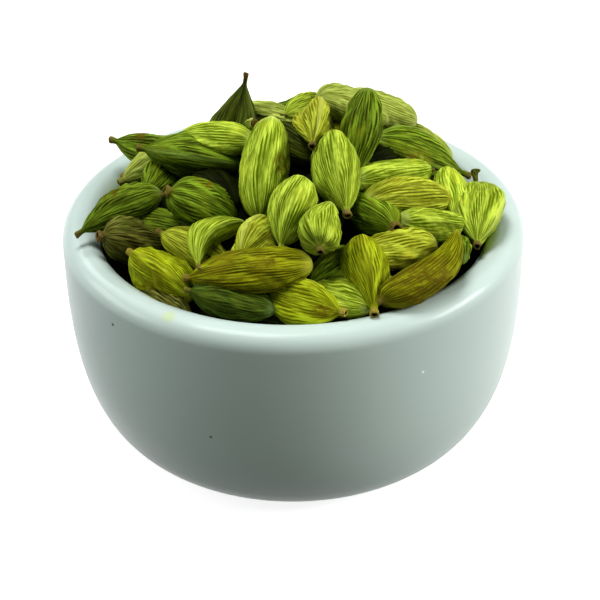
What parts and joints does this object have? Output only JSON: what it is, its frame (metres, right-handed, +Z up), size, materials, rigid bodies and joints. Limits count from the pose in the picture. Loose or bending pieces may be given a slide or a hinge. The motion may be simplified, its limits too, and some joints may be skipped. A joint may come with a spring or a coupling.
{
  "type": "bowl of cardamom pods",
  "caption": "Small thick-walled white bowl with a rounded side and lip, heaped above its rim with whole green cardamom pods.",
  "frame": {"origin": "middle of the bowl's resting face", "axes": "+Z up out of the bowl, -Y towards the side the picture shows"},
  "size_m": [0.08, 0.08, 0.0619],
  "materials": {
    "bowl": "smooth glossy white glaze with a slight cool green tint",
    "cardamom_pods": "dry matt ribbed husk, yellow green to dark green"
  },
  "bodies": {
    "root": {"bowl": "bowl", "cardamom_pods": "cardamom_pods"}
  },
  "joints": []
}
